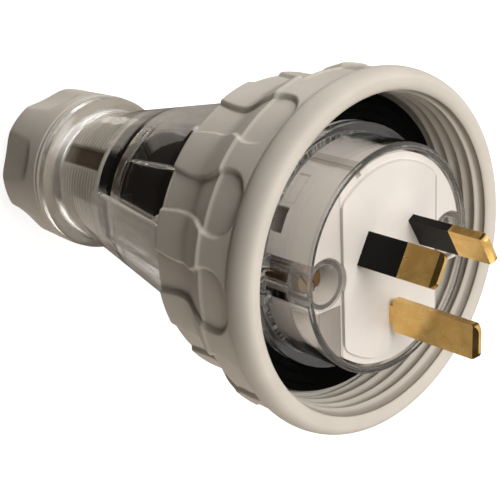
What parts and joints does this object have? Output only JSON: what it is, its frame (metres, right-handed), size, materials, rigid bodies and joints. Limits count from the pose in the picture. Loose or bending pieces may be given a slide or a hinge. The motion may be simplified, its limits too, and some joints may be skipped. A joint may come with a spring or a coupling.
{
  "type": "plug top",
  "caption": "Weatherproof flat-pin plug top with a grey screw-on locking ring, clear flared body, white pin carrier, sleeved brass pins and a cord gland nut at the rear.",
  "frame": {"origin": "centre of the gland nut's rear face, on the plug's axis", "axes": "+Z along the plug's axis towards the pins; +Y away from the earth pin; +X towards the active pin"},
  "size_m": [0.0686, 0.0686, 0.1239],
  "materials": {
    "grey_plastic": "satin moulded",
    "clear_plastic": "clear moulded polycarbonate",
    "white_plastic": "satin moulded",
    "pin_brass": "rolled, slightly aged",
    "sleeve_black": "satin moulded",
    "black_rubber": "matt",
    "black_plastic": "satin moulded",
    "terminal_brass": "machined",
    "plated_steel": "zinc plated",
    "screw_brass": "turned, coppery",
    "washer_nylon": "natural nylon"
  },
  "bodies": {
    "plug_body": {"rear_housing": "clear_plastic", "front_cover": "clear_plastic", "pin_carrier": "white_plastic", "active_pin": "pin_brass", "neutral_pin": "pin_brass", "earth_pin": "pin_brass", "active_sleeve": "sleeve_black", "neutral_sleeve": "sleeve_black", "sealing_gasket": "black_rubber", "gland_seal": "black_rubber", "terminal_shroud": "black_plastic", "active_terminal": "terminal_brass", "neutral_terminal": "terminal_brass", "earth_terminal": "terminal_brass", "active_terminal_screw": "plated_steel", "neutral_terminal_screw": "plated_steel", "earth_terminal_screw": "plated_steel", "assembly_screws": "screw_brass", "shroud_screws": "plated_steel"},
    "locking_ring": {"locking_ring": "grey_plastic"},
    "gland_washer": {"slip_washer": "washer_nylon"},
    "gland_nut": {"gland_nut": "grey_plastic"}
  },
  "joints": [
    {"name": "ring_turn", "type": "hinge", "parent": "plug_body", "child": "locking_ring", "pos_m": [0, 0, 0.088], "axis": [0, 0, 1], "continuous": true},
    {"name": "gland_travel", "type": "slide", "parent": "plug_body", "child": "gland_washer", "axis": [0, 0, -1], "range_m": [0, 0.0049]},
    {"name": "gland_turn", "type": "hinge", "parent": "gland_washer", "child": "gland_nut", "pos_m": [0, 0, 0.01], "axis": [0, 0, -1], "range_deg": [0, 1440]}
  ],
  "couplings": [
    {"joint": "gland_travel", "follows": "gland_turn", "m_per_rad": 0.00019099}
  ]
}
